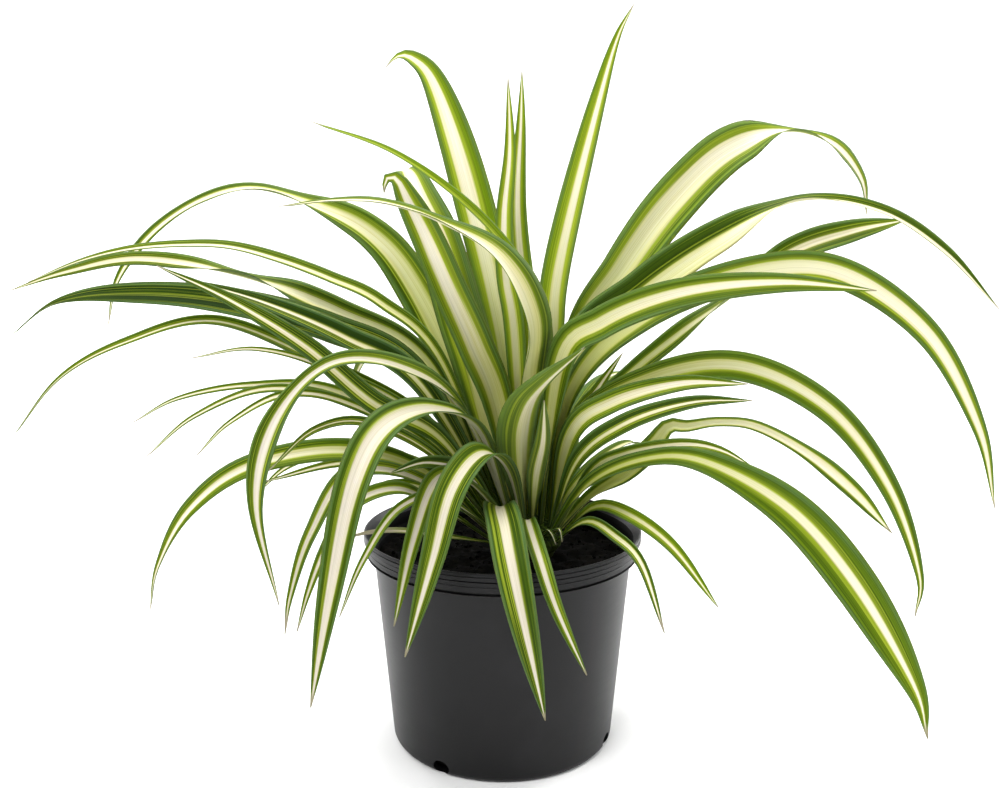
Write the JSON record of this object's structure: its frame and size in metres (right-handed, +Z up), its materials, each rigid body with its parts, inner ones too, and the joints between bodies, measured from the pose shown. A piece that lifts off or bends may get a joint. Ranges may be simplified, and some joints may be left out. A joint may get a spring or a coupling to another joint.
{
  "type": "potted spider plant",
  "caption": "Variegated spider plant with long arching cream-striped leaves, growing from soil in a round black nursery pot with a flat base.",
  "frame": {"origin": "centre of the flat underside of the pot's base, on the surface the pot stands on", "axes": "+Z up along the pot's axis; +X to the viewer's right and -Y towards the viewer"},
  "size_m": [0.5629, 0.3065, 0.4073],
  "materials": {
    "pot_plastic": "satin",
    "soil": "matte",
    "crown": "satin",
    "leaf": "satin"
  },
  "bodies": {
    "root": {"pot": "pot_plastic", "soil": "soil", "crown": "crown", "leaf_inner_1": "leaf", "leaf_inner_2": "leaf", "leaf_inner_3": "leaf", "leaf_inner_4": "leaf", "leaf_inner_5": "leaf", "leaf_inner_6": "leaf", "leaf_inner_7": "leaf", "leaf_upper_1": "leaf", "leaf_upper_2": "leaf", "leaf_upper_3": "leaf", "leaf_upper_4": "leaf", "leaf_upper_5": "leaf", "leaf_upper_6": "leaf", "leaf_left_1": "leaf", "leaf_left_2": "leaf", "leaf_left_3": "leaf", "leaf_left_4": "leaf", "leaf_left_5": "leaf", "leaf_left_6": "leaf", "leaf_left_7": "leaf", "leaf_left_8": "leaf", "leaf_left_9": "leaf", "leaf_left_10": "leaf", "leaf_left_11": "leaf", "leaf_left_12": "leaf", "leaf_left_13": "leaf", "leaf_left_14": "leaf", "leaf_left_15": "leaf", "leaf_front_1": "leaf", "leaf_front_2": "leaf", "leaf_front_3": "leaf", "leaf_front_4": "leaf", "leaf_front_5": "leaf", "leaf_front_6": "leaf", "leaf_front_7": "leaf", "leaf_front_8": "leaf", "leaf_front_9": "leaf", "leaf_front_10": "leaf", "leaf_right_1": "leaf", "leaf_right_2": "leaf", "leaf_right_3": "leaf", "leaf_right_4": "leaf", "leaf_right_5": "leaf", "leaf_right_6": "leaf", "leaf_right_7": "leaf", "leaf_right_8": "leaf", "leaf_right_9": "leaf", "leaf_right_10": "leaf", "leaf_right_11": "leaf", "leaf_right_12": "leaf", "leaf_back_1": "leaf", "leaf_back_2": "leaf", "leaf_back_3": "leaf", "leaf_back_4": "leaf", "leaf_back_5": "leaf", "leaf_back_6": "leaf", "leaf_left_16": "leaf"}
  },
  "joints": []
}
